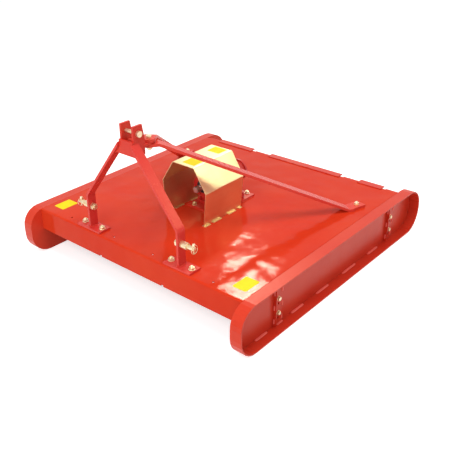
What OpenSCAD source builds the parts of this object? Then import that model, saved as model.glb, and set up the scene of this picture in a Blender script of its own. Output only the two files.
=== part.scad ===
// Rotary topper mower for a three-point hitch.
// +X is the machine's right as seen from its front, -Y is the hitch side, Z is up.
// The origin is on the ground under the middle of the two skids.

/* [Deck] */
// Width of the deck between the skid plates
deck_w = 1400; // [1200:10:1800]
// Length of the deck from front skirt to rear edge
deck_l = 1404; // [1300:10:1700]
// Height of the deck's top face above the ground
deck_top = 263; // [230:1:330]
// Thickness of the deck sheet
deck_t = 4; // [3:0.5:8]
// Height of the front skirt, measured from the deck's top face
skirt_h = 124; // [90:1:150]
// Outer radius of the folds between deck and skirts
fold_r = 10; // [8:1:20]
// Height of the folded rear edge, measured from the deck's top face
rear_skirt_h = 60; // [40:1:90]
// Thickness of the deck's side plates
side_t = 5; // [4:1:10]
// Width of the strips that lie along the rear edge
lip_w = 46; // [36:1:60]
// How far the rear strips reach out over the flap's rod
lip_out = 17; // [12:1:24]
// Thickness of the rear strips
lip_t = 5; // [3:1:8]
// Diameter of the rod behind the rear edge
flap_rod_d = 12; // [8:1:16]
// Height of the rear flap that hangs on the rod
flap_h = 150; // [80:1:190]
// Thickness of the rear flap
flap_t = 3; // [2:0.5:5]
// Width of the two beams under the deck
beam_w = 70; // [50:1:90]
// Height of the beams under the deck
beam_h = 42; // [30:1:55]
// Wall of the beams under the deck
beam_t = 5; // [3:1:8]

/* [Skids] */
// Width of the bar bent round each skid
skid_w = 62.5; // [45:0.5:80]
// Height of the skids
skid_h = 262; // [240:1:300]
// Thickness of the skid's side plate
skid_t = 5; // [4:1:10]
// Thickness of the bar bent round the skid
rim_t = 6; // [5:1:12]
// Length of the skid in front of the deck
skid_nose = 80; // [50:1:120]
// Length of the skid behind the deck
skid_tail = 168; // [60:1:220]
// Radius of the skid's upper front corner
skid_r_top = 98; // [60:1:115]
// Radius of the skid's upper rear corner
skid_r_tail = 128; // [60:1:128]
// Radius of the skid's lower corners
skid_r_low = 112; // [60:1:120]
// Flats that the press leaves round each skid corner
skid_flats = 6; // [3:1:12]
// Width of the skid's angle irons, front to back
angle_w = 60; // [50:1:80]
// Depth of the angle irons' front legs
angle_lip = 16; // [10:1:30]
// Thickness of the angle irons
angle_t = 5; // [4:1:8]

/* [Mast] */
// Distance of each mast leg from the middle
leg_x = 309; // [250:1:360]
// Width of the mast legs, front to back
leg_w = 50; // [40:1:80]
// Thickness of the mast legs
leg_t = 12; // [8:1:20]
// Distance of the mast behind the front skirt
mast_back = 46; // [40:1:80]
// Height of the bend in the mast legs
knee_z = 455; // [420:1:520]
// Height of the lower hitch pins
hitch_z = 385; // [340:1:400]
// Height of the top link's pin above the lower hitch pins
hitch_rise = 460; // [440:1:480]
// Clear gap between the two top link plates
ear_gap = 66; // [50:1:80]
// Thickness of the top link plates
ear_t = 12; // [8:1:20]
// Width of the top link plates at their tops, front to back
ear_w = 56; // [46:1:70]
// Height of the top link plates above the top link's pin
ear_rise = 38; // [30:1:60]
// Length of the mast's foot plates
foot_l = 170; // [140:1:200]
// Width of the mast's foot plates
foot_w = 76; // [66:1:90]
// Thickness of the mast's foot plates
foot_t = 10; // [6:1:16]

/* [Hitch pins] */
// Diameter of the lower hitch pins
hitch_pin_d = 22; // [20:0.1:28]
// Free length of each lower hitch pin
hitch_pin_l = 44; // [38:1:60]
// Diameter of the top link's pin
top_pin_d = 19; // [18:0.1:25.5]

/* [Stays] */
// Width of each stay bar
stay_w = 60; // [40:1:70]
// Thickness of each stay bar
stay_t = 14; // [8:1:18]
// Distance of each stay's lower bend from the middle
stay_x = 594; // [520:1:610]
// Distance of each stay's lower bend behind the front skirt
stay_y = 1038; // [940:1:1080]
// Angle between each stay's foot and the machine's length
stay_foot_turn = 17; // [0:1:40]
// Length of each stay's foot behind the bend
stay_foot_l = 100; // [80:1:140]

/* [Guard] */
// Width of the guard's base, outside
guard_base_w = 268; // [250:1:300]
// How far each side of the guard leans out between its base and its knee
guard_flare = 16; // [4:1:25]
// Width of the guard's flat top, outside
guard_top_w = 142; // [100:1:180]
// Height of the guard's knees above the deck
guard_knee_h = 188; // [160:1:220]
// Height of the guard's top above the deck
guard_h = 310; // [290:1:350]
// Length of the guard
guard_l = 303; // [250:1:340]
// Distance of the guard behind the front skirt
guard_back = 404; // [360:1:440]
// Thickness of the guard's sheet
guard_t = 3; // [2:0.5:5]

/* [Gearbox] */
// Height of the input shaft above the deck
input_rise = 138; // [125:1:160]
// Width of the gearbox housing
box_w = 140; // [120:1:160]
// Length of the gearbox housing between its horns
box_l = 188; // [170:1:200]
// Length of the gearbox horn at each end of the housing
horn_l = 62; // [50:1:70]
// Free length of the input shaft
shaft_out = 54; // [50:1:80]
// Diameter of the input shaft over its splines
input_d = 34.9; // [30:0.1:45]
// Number of splines on the input shaft
splines = 6; // [4:1:21]
// Diameter of the output hub below the deck
hub_d = 84; // [60:1:110]

/* [Blades] */
// Height of the blades' cutting edges above the ground
cut_z = 80; // [50:1:110]
// Distance of each blade's pivot from the rotor's middle
pivot_r = 365; // [320:1:400]
// Length of each blade beyond its pivot
blade_l = 300; // [200:1:310]
// Width of the blades
blade_w = 76; // [60:1:90]
// Thickness of the blades
blade_t = 10; // [6:1:14]
// How far the blades are cranked down
blade_crank = 14; // [4:1:20]
// Width of the blade carrier
carrier_w = 100; // [80:1:140]
// Thickness of the blade carrier
carrier_t = 14; // [10:1:20]

/* [Hidden] */

$fn = 48;
eps = 0.01;
red = [0.83, 0.20, 0.16];
dark_red = [0.60, 0.09, 0.08];
zinc = [0.86, 0.76, 0.58];
cream = [0.95, 0.90, 0.66];
steel = [0.55, 0.56, 0.58];
rubber = [0.08, 0.08, 0.08];

skid_l = skid_nose + deck_l + skid_tail;
front_y = -skid_l / 2 + skid_nose;
rear_y = front_y + deck_l;
side_x = deck_w / 2;
deck_low = deck_top - deck_t;
rotor_y = front_y + deck_l / 2;
mast_y = front_y + mast_back;
top_pin_z = hitch_z + hitch_rise;
input_z = deck_top + input_rise;
// Clearance on the diameter of a running shaft
run_fit = 0.1;
// Gap between a moving piece and what it rests on
seat_gap = 0.3;
// Gap between blade and carrier
blade_gap = 8;

// Left normal of a plan direction
function left_of(v) = [-v[1], v[0]];

function unit(v) = v / norm(v);

// Vector v turned by a degrees
function turned(v, a) = [v[0] * cos(a) - v[1] * sin(a), v[0] * sin(a) + v[1] * cos(a)];

// Points along one face of a bent strip that follows path; off is the face's distance
// to the left of the path and r the path's bend radius
function strip_face(path, off, r, steps) = [for (i = [0:len(path) - 1])
    let (last = len(path) - 1)
    let (before = unit(path[max(i, 1)] - path[max(i, 1) - 1]))
    let (after = unit(path[min(i + 1, last)] - path[min(i + 1, last) - 1]))
    let (turn = atan2(cross(before, after), before * after))
    each (i == 0 || i == last || abs(turn) < eps
        ? [path[i] + off * left_of(before)]
        : let (start = path[i] - r * tan(abs(turn) / 2) * before)
          let (middle = start + sign(turn) * r * left_of(before))
          [for (k = [0:steps])
              middle + (off - sign(turn) * r) * turned(left_of(before), turn * k / steps)])];

// Points of an arc of radius r in the corner c between the directions a and b
function fillet(c, a, b, r, steps = 6) =
    let (half = acos(a * b) / 2)
    let (middle = c + unit(a + b) * r / sin(half))
    let (first = c + a * r / tan(half) - middle)
    let (last = c + b * r / tan(half) - middle)
    let (turn = atan2(cross(first, last), first * last))
    [for (k = [0:steps]) middle + turned(first, turn * k / steps)];

// Rectangle of w by l about its middle, with its corners cut off by c
function cut_corners(w, l, c) = [for (q = [[1, 1], [-1, 1], [-1, -1], [1, -1]])
    for (k = q[0] * q[1] > 0 ? [[0, c], [c, 0]] : [[c, 0], [0, c]])
        [q[0] * (w / 2 - k[0]), q[1] * (l / 2 - k[1])]];

// Section of a bent strip
module strip(path, t, r, steps = 6) {
    outer = strip_face(path, t / 2, r, steps);
    inner = strip_face(path, -t / 2, r, steps);
    polygon(concat(outer, [for (i = [len(inner) - 1:-1:0]) inner[i]]));
}

// Section in Y and Z, drawn along X from x0
module along_x(x0, length) {
    translate([x0, 0, 0])
        rotate([90, 0, 90])
            linear_extrude(length)
                children();
}

// Section in X and Z, drawn along Y from y0
module along_y(y0, length) {
    translate([0, y0 + length, 0])
        rotate([90, 0, 0])
            linear_extrude(length)
                children();
}

// Box given by its middle in X and Y, its foot and its size
module block(x, y, z, size) {
    translate([x - size[0] / 2, y - size[1] / 2, z])
        cube(size);
}

// Upright round bar or hole
module rod(x, y, z, d, h) {
    translate([x, y, z])
        cylinder(d = d, h = h);
}

// Round bar or hole along X
module rod_x(x, y, z, d, h) {
    translate([x, y, z])
        rotate([0, 90, 0])
            cylinder(d = d, h = h);
}

// Round bar or hole along Y
module rod_y(x, y, z, d, h) {
    translate([x, y, z])
        rotate([-90, 0, 0])
            cylinder(d = d, h = h);
}

// The right-hand piece, or its mirror image on the left
module on_side(side) {
    mirror([side < 0 ? 1 : 0, 0, 0])
        children();
}

// Deck sheet with its front skirt and rear edge folded down
module deck() {
    mid = deck_t / 2;
    path = [[front_y + mid, deck_top - skirt_h], [front_y + mid, deck_top - mid],
        [rear_y - mid, deck_top - mid], [rear_y - mid, deck_top - rear_skirt_h]];
    notch_w = 14;
    notch_h = 8;
    color(red)
        difference() {
            along_x(-side_x, deck_w)
                strip(path, deck_t, fold_r - mid);
            rod(0, rotor_y, deck_low - 1, box_seat_d, deck_t + 2);
            for (x = [-notch_x, notch_x])
                block(x, front_y, deck_top - skirt_h - 1, [notch_w, 3 * deck_t, notch_h + 1]);
            for (x = front_holes_x)
                rod(x, front_y + front_holes_back, deck_low - 1, front_hole_d, deck_t + 2);
            for (side = [-1, 1])
                block(side * (side_x - side_t / 2), rear_y, lug_low,
                    [side_t, 3 * deck_t, lug_high - lug_low]);
        }
}
box_seat_d = 118;
// Distance of the skirt's notches from the middle
notch_x = 220;
// Small holes behind the front skirt
front_holes_x = [-481, -146, 126, 507];
front_holes_back = 40;
front_hole_d = 11;

// Side plates, with two tongues that reach down behind the skid for its bolts
tongue_front = 262;
tongue_back = 86;
tongue_y = [tongue_front, deck_l - tongue_back];
tongue_w = 60;
tongue_low = 24;
bolt_holes_z = [148, 120, 69, 41];
skid_bolt_d = 13;
module side_plate(side) {
    low = deck_top - skirt_h;
    first = front_y + deck_t;
    last = rear_y - deck_t;
    fold = fold_r - deck_t;
    color(red)
        on_side(side)
            difference() {
                union() {
                    along_x(side_x - side_t, side_t)
                        polygon([[first, low], [last, low], [last, deck_low - fold],
                            [last - fold, deck_low], [first + fold, deck_low],
                            [first, deck_low - fold]]);
                    for (y = tongue_y)
                        along_x(side_x - side_t, side_t)
                            translate([front_y + y - tongue_w / 2, tongue_low])
                                square([tongue_w, low - tongue_low + side_t]);
                    along_x(side_x - side_t, side_t)
                        translate([last - fold_r, lug_low])
                            square([flap_y - last + fold_r + knuckle_d / 2, lug_high - lug_low]);
                }
                rod_x(0, flap_y, flap_z, flap_rod_d, deck_w);
                for (y = tongue_y)
                    for (z = [bolt_holes_z[0], bolt_holes_z[2]])
                        rod_x(side_x - 2 * side_t, front_y + y, z, skid_bolt_d, 3 * side_t);
            }
}

// Strips that lie along the rear edge and cover the flap's rod: first and last X of each
strip_in_left = 118;
strip_in_right = 91;
strip_spans = [[strip_in_left - side_x, -315], [-177, 335], [460, side_x - strip_in_right]];
module rear_strips() {
    color(red)
        for (span = strip_spans)
            translate([span[0], rear_y + lip_out - lip_w, deck_top])
                cube([span[1] - span[0], lip_w, lip_t]);
}

// Rod on which the rear flap hangs, held in the side plates
flap_y = rear_y + 16;
flap_z = deck_top - 18;
module flap_rod() {
    color(zinc)
        rod_x(-side_x, flap_y, flap_z, flap_rod_d, deck_w);
}

// Rear flap; its knuckles fill the gaps between the strips
knuckle_d = flap_rod_d + 8;
// Foot and top of the lugs of the side plates, which pass through the rear edge
lug_low = flap_z - knuckle_d / 2;
lug_high = deck_low - fold_r + deck_t;
flap_side_gap = 10;
flap_w = deck_w - 2 * flap_side_gap;
knuckle_ends = concat([-flap_w / 2], [for (span = strip_spans) each span], [flap_w / 2]);
module rear_flap() {
    face = knuckle_d / 2;
    under = flap_z - knuckle_d / 2 - 4;
    color(red)
        difference() {
            union() {
                along_x(-flap_w / 2, flap_w)
                    translate([flap_y + face - flap_t, flap_z - flap_h])
                        square([flap_t, under - flap_z + flap_h]);
                for (k = [0:2:len(knuckle_ends) - 1]) {
                    start = knuckle_ends[k] + (k == 0 ? 0 : flap_side_gap);
                    end = knuckle_ends[k + 1] - (k == len(knuckle_ends) - 2 ? 0 : flap_side_gap);
                    rod_x(start, flap_y, flap_z, knuckle_d, end - start);
                    along_x(start, end - start)
                        translate([flap_y + face - flap_t, under - 1])
                            square([flap_t, flap_z - under + 1]);
                }
            }
            rod_x(-side_x, flap_y, flap_z, flap_rod_d + run_fit, deck_w);
        }
}

// Two folded beams under the deck, from skirt to skirt
module deck_beams() {
    color(red)
        for (side = [-1, 1])
            along_y(front_y + fold_r, deck_l - 2 * fold_r)
                translate([side * leg_x, deck_low])
                    difference() {
                        translate([-beam_w / 2, -beam_h])
                            square([beam_w, beam_h]);
                        translate([-beam_w / 2 + beam_t, -beam_h + beam_t])
                            square([beam_w - 2 * beam_t, beam_h]);
                    }
}

// Skid outline in Y and Z, inset from the outer face; the corners are rows of flats
function corner(y, z, r, a0) = [for (k = [0:skid_flats])
    [y + r * cos(a0 + 90 * k / skid_flats), z + r * sin(a0 + 90 * k / skid_flats)]];
function skid_outline(inset) = concat(
    corner(skid_l / 2 - skid_r_tail, skid_h - skid_r_tail, skid_r_tail - inset, 0),
    corner(-skid_l / 2 + skid_r_top, skid_h - skid_r_top, skid_r_top - inset, 90),
    corner(-skid_l / 2 + skid_r_low, skid_r_low, skid_r_low - inset, 180),
    corner(skid_l / 2 - skid_r_low, skid_r_low, skid_r_low - inset, 270));

// Skid: side plate with a bar bent all round it
module skid(side) {
    color(red)
        on_side(side)
            difference() {
                along_x(side_x, skid_w)
                    polygon(skid_outline(0));
                along_x(side_x + skid_t, skid_w)
                    polygon(skid_outline(rim_t));
                for (y = tongue_y)
                    for (z = bolt_holes_z)
                        rod_x(side_x - 1, front_y + y, z, skid_bolt_d, skid_t + 2);
            }
}

// Angle irons that stiffen the skid where it is bolted to the deck
angle_front = 32;
module skid_angles(side) {
    low = rim_t;
    high = skid_h - rim_t;
    color(red)
        on_side(side)
            for (y = tongue_y)
                difference() {
                    translate([side_x + skid_t, front_y + y - angle_front, low]) {
                        cube([angle_t, angle_w, high - low]);
                        cube([angle_lip, angle_t, high - low]);
                    }
                    for (z = bolt_holes_z)
                        rod_x(side_x, front_y + y, z, skid_bolt_d, skid_w);
                }
}

// Foot plate of a mast leg
module mast_foot(side) {
    color(red)
        block(side * leg_x, mast_y, deck_top, [foot_l, foot_w, foot_t]);
}

// Mast leg: upright bar, bent inwards to the top link plates
ear_x = ear_gap / 2 + ear_t;
leg_top = 790;
leg_lean = atan2(leg_x - ear_x, leg_top - knee_z);
module mast_leg(side) {
    foot = deck_top + foot_t;
    reach = leg_t / 2 / sin(leg_lean);
    color(red)
        on_side(side)
            difference() {
                along_y(mast_y - leg_w / 2, leg_w)
                    intersection() {
                        strip([[leg_x, foot], [leg_x, knee_z], [ear_x - 20, leg_top + 20 / tan(leg_lean)]],
                            leg_t, 3 * leg_t);
                        translate([ear_x, foot])
                            square([leg_x, leg_top + reach + leg_t]);
                    }
                rod_x(leg_x - leg_t, mast_y, hitch_z, hitch_pin_d, 2 * leg_t);
            }
}

// Plate across the front of the mast and of the top link plates
web_low = 742;
web_top = 812;
web_t = 10;
web_fillet = 42;
module mast_web() {
    inner_z = leg_top - leg_t / 2 / sin(leg_lean);
    low_x = ear_x + (inner_z - web_low) * tan(leg_lean);
    half = concat([[ear_x, web_top], [ear_x, inner_z]],
        fillet([low_x, web_low], [sin(leg_lean), -cos(leg_lean)], [-1, 0], web_fillet));
    color(red)
        along_y(ear_y0 - web_t, web_t)
            polygon(concat(half, [for (i = [len(half) - 1:-1:0]) [-half[i][0], half[i][1]]]));
}

// Top link plate, wider below its pin
ear_y0 = mast_y - 5;
top_pin_y = ear_y0 + ear_w / 2 + 1;
module top_link_ear(side) {
    low = web_low - 6;
    high = top_pin_z + ear_rise;
    back = ear_y0 + ear_w;
    flare = 12;
    color(red)
        on_side(side)
            difference() {
                along_x(ear_gap / 2, ear_t)
                    polygon([[ear_y0, low], [ear_y0, high], [back, high],
                        [back + flare, top_pin_z - 30], [back + flare, low]]);
                rod_x(0, top_pin_y, top_pin_z, top_pin_d + 1, 2 * ear_x);
            }
}

// Bolt through the top link plates
module top_link_pin() {
    y = top_pin_y;
    head = 12;
    color(zinc) {
        rod_x(-ear_x - head - 6, y, top_pin_z, top_pin_d, 2 * ear_x + head + 6);
        rod_x(ear_x + 0.3, y, top_pin_z, 30, head);
        rod_x(-ear_x - head - 0.3, y, top_pin_z, 30, head);
    }
}

// Lower hitch pin: threaded shank with a nut inside the leg, collar outside it,
// then the free end with the hole for its linch pin
collar_l = 38;
collar_d = hitch_pin_d + 12;
nut_l = 0.8 * hitch_pin_d;
thread_out = 8;
linch_hole_d = 9;
linch_back = 8;
module hitch_pin(side) {
    inner = leg_x - leg_t / 2;
    outer = leg_x + leg_t / 2;
    end = outer + collar_l + hitch_pin_l;
    chamfer = 2;
    color(zinc)
        on_side(side)
            difference() {
                union() {
                    rod_x(inner - nut_l - thread_out, mast_y, hitch_z, hitch_pin_d,
                        nut_l + thread_out + leg_t + collar_l + hitch_pin_l);
                    rod_x(outer, mast_y, hitch_z, collar_d, collar_l);
                    translate([inner - nut_l, mast_y, hitch_z])
                        rotate([0, 90, 0])
                            cylinder(d = 1.7 * hitch_pin_d, h = nut_l, $fn = 6);
                }
                rod(end - linch_back, mast_y, hitch_z - hitch_pin_d, linch_hole_d, 2 * hitch_pin_d);
                translate([end - chamfer, mast_y, hitch_z])
                    rotate([0, 90, 0])
                        difference() {
                            cylinder(d = 2 * hitch_pin_d, h = chamfer + 1);
                            translate([0, 0, -1])
                                cylinder(d1 = hitch_pin_d + 2, d2 = hitch_pin_d - 2 * chamfer - 2,
                                    h = chamfer + 2);
                        }
            }
}

// Tongue behind the mast that carries the stays' bolt
stay_bolt_back = 178;
stay_bolt_d = 16;
tongue_z = 760;
tongue_t = 10;
module stay_tongue() {
    y0 = ear_y0 + 20;
    y1 = front_y + stay_bolt_back;
    color(red)
        difference() {
            union() {
                block(0, (y0 + y1) / 2, tongue_z, [50, y1 - y0, tongue_t]);
                rod(0, y1, tongue_z, 50, tongue_t);
                block(0, y0 + 20, web_low, [ear_gap, 12, 60]);
            }
            rod(0, y1, tongue_z - 1, stay_bolt_d + 0.4, tongue_t + 2);
        }
}

// Upright bolt that joins both stays to the tongue
module stay_bolt() {
    y = front_y + stay_bolt_back;
    low = tongue_z - stay_t - end_extra;
    high = tongue_z + tongue_t + stay_t + end_extra;
    color(zinc) {
        rod(0, y, low - 20, stay_bolt_d, high - low + 20);
        rod(0, y, high, 27, 11);
        rod(0, y, low - 14, 27, 14);
    }
}

// Stay: flat bar bent at both ends, from the tongue's bolt down to its foot on the deck
stay_bend = 45;
// How much wider and thicker than the bar its forged ends are
lug_extra = 4;
end_extra = 1;
module stay(side) {
    bolt = [0, front_y + stay_bolt_back];
    bend = [stay_x, front_y + stay_y];
    run = norm(bend - bolt);
    plan = atan2(bend[1] - bolt[1], bend[0] - bolt[0]);
    end_t = stay_t + end_extra;
    lug_z = side > 0 ? tongue_z - end_t : tongue_z + tongue_t;
    high = lug_z + end_t / 2;
    low = deck_top + end_t / 2;
    overlap = 12;
    color(red)
        on_side(side)
            difference() {
                union() {
                    translate([bolt[0], bolt[1], 0])
                        rotate([0, 0, plan])
                            along_y(-stay_w / 2, stay_w)
                                strip([[0, high], [stay_bend, high], [run, low], [run + stay_w / 2, low]],
                                    stay_t, 1.2 * stay_t);
                    rod(bolt[0], bolt[1], lug_z, stay_w + lug_extra, end_t);
                    translate([bend[0], bend[1], deck_top])
                        rotate([0, 0, 90 - stay_foot_turn])
                            translate([-overlap, -stay_w / 2, 0])
                                cube([stay_foot_l + overlap, stay_w, end_t]);
                }
                rod(bolt[0], bolt[1], lug_z - 1, stay_bolt_d + 0.4, end_t + 2);
            }
}

// Plate on the deck that carries the gearbox
bed = [212, 324, 10];
module gearbox_bed() {
    color(red)
        difference() {
            block(0, rotor_y, deck_top, bed);
            rod(0, rotor_y, deck_top - 1, box_seat_d, bed[2] + 2);
        }
}

// Gearbox: housing on a rectangular foot, crossed by the input shaft's barrel with a
// horn and a bolted cover at each end, with ribs, and the output shaft's neck below
neck_gap = 2;
neck_d = box_seat_d - 2 * neck_gap;
neck_low = deck_low - 40;
shaft_d = 45;
base = [180, 206, 12];
base_cut = 16;
cover_d = 120;
cover_t = 14;
horn_d = 104;
seal_d = 70;
seal_depth = 5;
box_end = box_l / 2 + horn_l;
module gearbox() {
    foot = deck_top + bed[2];
    step = foot + base[2];
    half = box_l / 2;
    wall_in = 8;
    rib_t = 9;
    rib_out = 7;
    rib_back = 46;
    web_foot = step + 14;
    pad = [66, 92, 6];
    edge = 3;
    color(dark_red)
        difference() {
            union() {
                translate([0, rotor_y, 0])
                    rotate_extrude()
                        polygon([[0, neck_low], [neck_d / 2 - edge, neck_low], [neck_d / 2, neck_low + edge],
                            [neck_d / 2, step], [0, step]]);
                translate([0, rotor_y, foot])
                    linear_extrude(base[2])
                        polygon(cut_corners(base[0], base[1], base_cut));
                along_y(rotor_y - half + wall_in, box_l - 2 * wall_in)
                    polygon([[-base[0] / 2 + wall_in, step], [base[0] / 2 - wall_in, step],
                        [box_w / 2, input_z], [-box_w / 2, input_z]]);
                translate([0, rotor_y, input_z])
                    rotate([-90, 0, 0])
                        rotate_extrude()
                            polygon(concat(barrel_half(-1), [for (i = [7:-1:0]) barrel_half(1)[i]]));
                for (y = [-rib_back, rib_back])
                    along_y(rotor_y + y - rib_t / 2, rib_t)
                        polygon([[-base[0] / 2 + 1, step], [base[0] / 2 - 1, step],
                            [box_w / 2 + rib_out, input_z], [box_w / 4, input_z + box_w / 2 + rib_out / 3],
                            [-box_w / 4, input_z + box_w / 2 + rib_out / 3], [-box_w / 2 - rib_out, input_z]]);
                for (end = [-1, 1])
                    along_x(-rib_t / 2, rib_t)
                        polygon([[rotor_y + end * (half - 2 * wall_in), web_foot],
                            [rotor_y + end * (half - wall_in / 2), web_foot],
                            [rotor_y + end * (box_end - cover_t / 2), input_z - horn_d / 2 + edge],
                            [rotor_y + end * (half - 2 * wall_in), input_z]]);
                block(0, rotor_y, input_z + box_w / 2 - pad[2], [pad[0], pad[1], 2 * pad[2]]);
            }
            rod(0, rotor_y, neck_low - 1, shaft_d + run_fit, 2 * shaft_d);
            rod_y(0, rotor_y - box_end - 1, input_z, input_d + run_fit, horn_l + 1);
            rod_y(0, rotor_y - box_end - 1, input_z, seal_d, seal_depth + 1);
        }
}

// Outline of the barrel from its axis at one end to the housing, as radius and length
function barrel_half(end) = [for (p = [[0, box_end], [cover_d / 2 - 2, box_end], [cover_d / 2, box_end - 2],
    [cover_d / 2, box_end - cover_t], [horn_d / 2, box_end - cover_t], [horn_d / 2, box_l / 2 + 9],
    [box_w / 2 - 7, box_l / 2], [box_w / 2, box_l / 2 - 7]]) [p[0], end * p[1]]];

// Rubber seal round the input shaft
module input_seal() {
    color(rubber)
        translate([0, rotor_y - box_end, input_z])
            rotate([-90, 0, 0])
                difference() {
                    cylinder(d = seal_d, h = seal_depth);
                    translate([0, 0, -1])
                        cylinder(d = input_d + 2, h = seal_depth + 2);
                }
}

// Input shaft, splined at its front end, with the groove for the yoke's lock
spline_back = 8;
module input_shaft() {
    face = rotor_y - box_end;
    tip = face - shaft_out;
    gap_w = input_d / 4;
    gap_depth = 3.2;
    groove = 24;
    groove_r = 5;
    color(steel)
        difference() {
            rod_y(0, tip, input_z, input_d, shaft_out + horn_l - 1);
            for (k = [0:splines - 1])
                translate([0, tip - 1, input_z])
                    rotate([0, k * 360 / splines, 0])
                        translate([-gap_w / 2, 0, input_d / 2 - gap_depth])
                            cube([gap_w, shaft_out - spline_back + 1, 2 * gap_depth]);
            translate([0, tip + groove, input_z])
                rotate([-90, 0, 0])
                    rotate_extrude()
                        translate([(input_d + groove_r) / 2, 0])
                            circle(r = groove_r);
        }
}

// Folded tunnel over the gearbox and its input shaft
foot_tabs = [[0, 44], [66, 66], [191, 59], [280, 23]];
tab_out = 11;
module guard() {
    mid = guard_t / 2;
    y0 = front_y + guard_back;
    knee = deck_top + guard_knee_h;
    top = deck_top + guard_h;
    base_x = guard_base_w / 2 - mid;
    knee_x = base_x + guard_flare;
    sunk = guard_flare / guard_knee_h;
    path = [[base_x - sunk, deck_top - 1], [knee_x, knee], [guard_top_w / 2, top - mid],
        [-guard_top_w / 2, top - mid], [-knee_x, knee], [sunk - base_x, deck_top - 1]];
    color(cream) {
        along_y(y0, guard_l)
            intersection() {
                strip(path, guard_t, 2 * guard_t, 3);
                translate([-guard_base_w, deck_top])
                    square([2 * guard_base_w, guard_h]);
            }
        for (side = [-1, 1])
            on_side(side)
                for (tab = foot_tabs)
                    translate([guard_base_w / 2 - guard_t - tab_out, y0 + tab[0], deck_top])
                        cube([2 * tab_out + guard_t, tab[1], guard_t]);
    }
}

// Rotor shaft and hub below the gearbox, with the castle nut under the carrier
blade_root = cut_z + blade_crank;
carrier_z = blade_root + blade_t + blade_gap;
shaft_in = 18;
hub_nut_h = 20;
hub_nut_d = 62;
thread_d = 33;
module rotor_hub() {
    foot = carrier_z + carrier_t;
    top = neck_low - 5;
    flange_h = 10;
    flange_out = 7;
    slot = [9, 8];
    color(steel) {
        rod(0, rotor_y, foot, shaft_d, neck_low + shaft_in - foot);
        translate([0, rotor_y, 0])
            rotate_extrude()
                polygon([[0, foot], [hub_d / 2 + flange_out, foot], [hub_d / 2 + flange_out, foot + flange_h],
                    [hub_d / 2, foot + flange_h + flange_out], [hub_d / 2, top - 3], [hub_d / 2 - 3, top],
                    [0, top]]);
        rod(0, rotor_y, carrier_z - hub_nut_h + 2, thread_d, hub_nut_h - 2 + carrier_t);
        translate([0, rotor_y, carrier_z - hub_nut_h])
            difference() {
                cylinder(d = hub_nut_d, h = hub_nut_h, $fn = 6);
                translate([0, 0, -1])
                    cylinder(d = thread_d, h = hub_nut_h);
                for (k = [0:2])
                    rotate([0, 0, 60 * k])
                        block(0, 0, -1, [slot[0], 2 * hub_nut_d, slot[1] + 1]);
            }
    }
}

// Bar that carries the blades
module blade_carrier() {
    color(steel)
        difference() {
            union() {
                block(0, rotor_y, carrier_z, [2 * pivot_r, carrier_w, carrier_t]);
                for (side = [-1, 1])
                    rod(side * pivot_r, rotor_y, carrier_z, carrier_w, carrier_t);
            }
            for (side = [-1, 1])
                rod(side * pivot_r, rotor_y, carrier_z - 1, pin_d, carrier_t + 2);
            rod(0, rotor_y, carrier_z - 1, thread_d, carrier_t + 2);
        }
}
pin_d = 24;

// Bolts on which the blades swing: shank, nut above the carrier, spacer, head below
module blade_pins() {
    top = carrier_z + carrier_t;
    nut_h = 0.7 * pin_d;
    head_h = 9;
    color(steel)
        for (side = [-1, 1])
            on_side(side) {
                rod(pivot_r, rotor_y, blade_root - head_h, pin_d, top - blade_root + head_h + nut_h + 4);
                translate([pivot_r, rotor_y, top])
                    cylinder(d = 1.75 * pin_d, h = nut_h, $fn = 6);
                rod(pivot_r, rotor_y, blade_root + blade_t + seat_gap, pin_d + 16, blade_gap - seat_gap);
                rod(pivot_r, rotor_y, blade_root - seat_gap - head_h, pin_d + 20, head_h);
            }
}

// Swinging blade: flat round its pin, cranked down, with a ground edge at its end
crank_start = 72;
crank_run = 26;
ground_l = 178;
module blade(side) {
    root = blade_root + blade_t / 2;
    cut = cut_z + blade_t / 2;
    bend = pivot_r + crank_start;
    end = pivot_r + blade_l;
    bevel = 22;
    edge_t = 1.5;
    side_y = -blade_w / 2;
    color(steel)
        translate([0, rotor_y, 0])
            rotate([0, 0, side > 0 ? 0 : 180])
                difference() {
                    union() {
                        along_y(side_y, blade_w)
                            strip([[pivot_r, root], [bend, root], [bend + crank_run, cut], [end, cut]],
                                blade_t, blade_t);
                        rod(pivot_r, 0, blade_root, blade_w, blade_t);
                    }
                    rod(pivot_r, 0, blade_root - 1, pin_d + run_fit, blade_t + 2);
                    along_x(end - ground_l, ground_l + 1)
                        polygon([[side_y - 1, cut_z + edge_t - 0.4], [side_y + bevel, cut_z + blade_t + 0.4],
                            [side_y - 1, cut_z + blade_t + 0.4]]);
                }
}

deck();
side_plate(-1);  // side_plate_left
side_plate(1);  // side_plate_right
rear_strips();
flap_rod();
rear_flap();
deck_beams();
skid(-1);  // skid_left
skid(1);  // skid_right
skid_angles(-1);  // skid_angles_left
skid_angles(1);  // skid_angles_right
mast_foot(-1);  // mast_foot_left
mast_foot(1);  // mast_foot_right
mast_leg(-1);  // mast_leg_left
mast_leg(1);  // mast_leg_right
mast_web();
top_link_ear(-1);  // top_link_ear_left
top_link_ear(1);  // top_link_ear_right
top_link_pin();
hitch_pin(-1);  // hitch_pin_left
hitch_pin(1);  // hitch_pin_right
stay_tongue();
stay_bolt();
stay(-1);  // stay_left
stay(1);  // stay_right
gearbox_bed();
gearbox();
input_seal();
input_shaft();
guard();
rotor_hub();
blade_carrier();
blade_pins();
blade(-1);  // blade_left
blade(1);  // blade_right
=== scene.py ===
"""Rotary topper mower for a three-point hitch: finishes, fasteners, welds and the studio.

Lengths are in metres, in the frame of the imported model: the origin lies on the ground under
the middle of the skids, -Y is the hitch side, Z is up.
"""
import logging
import math
from dataclasses import dataclass, field
from enum import Enum
from typing import Protocol

import bmesh
import bpy
import numpy as np
from mathutils import Matrix, Vector


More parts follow.
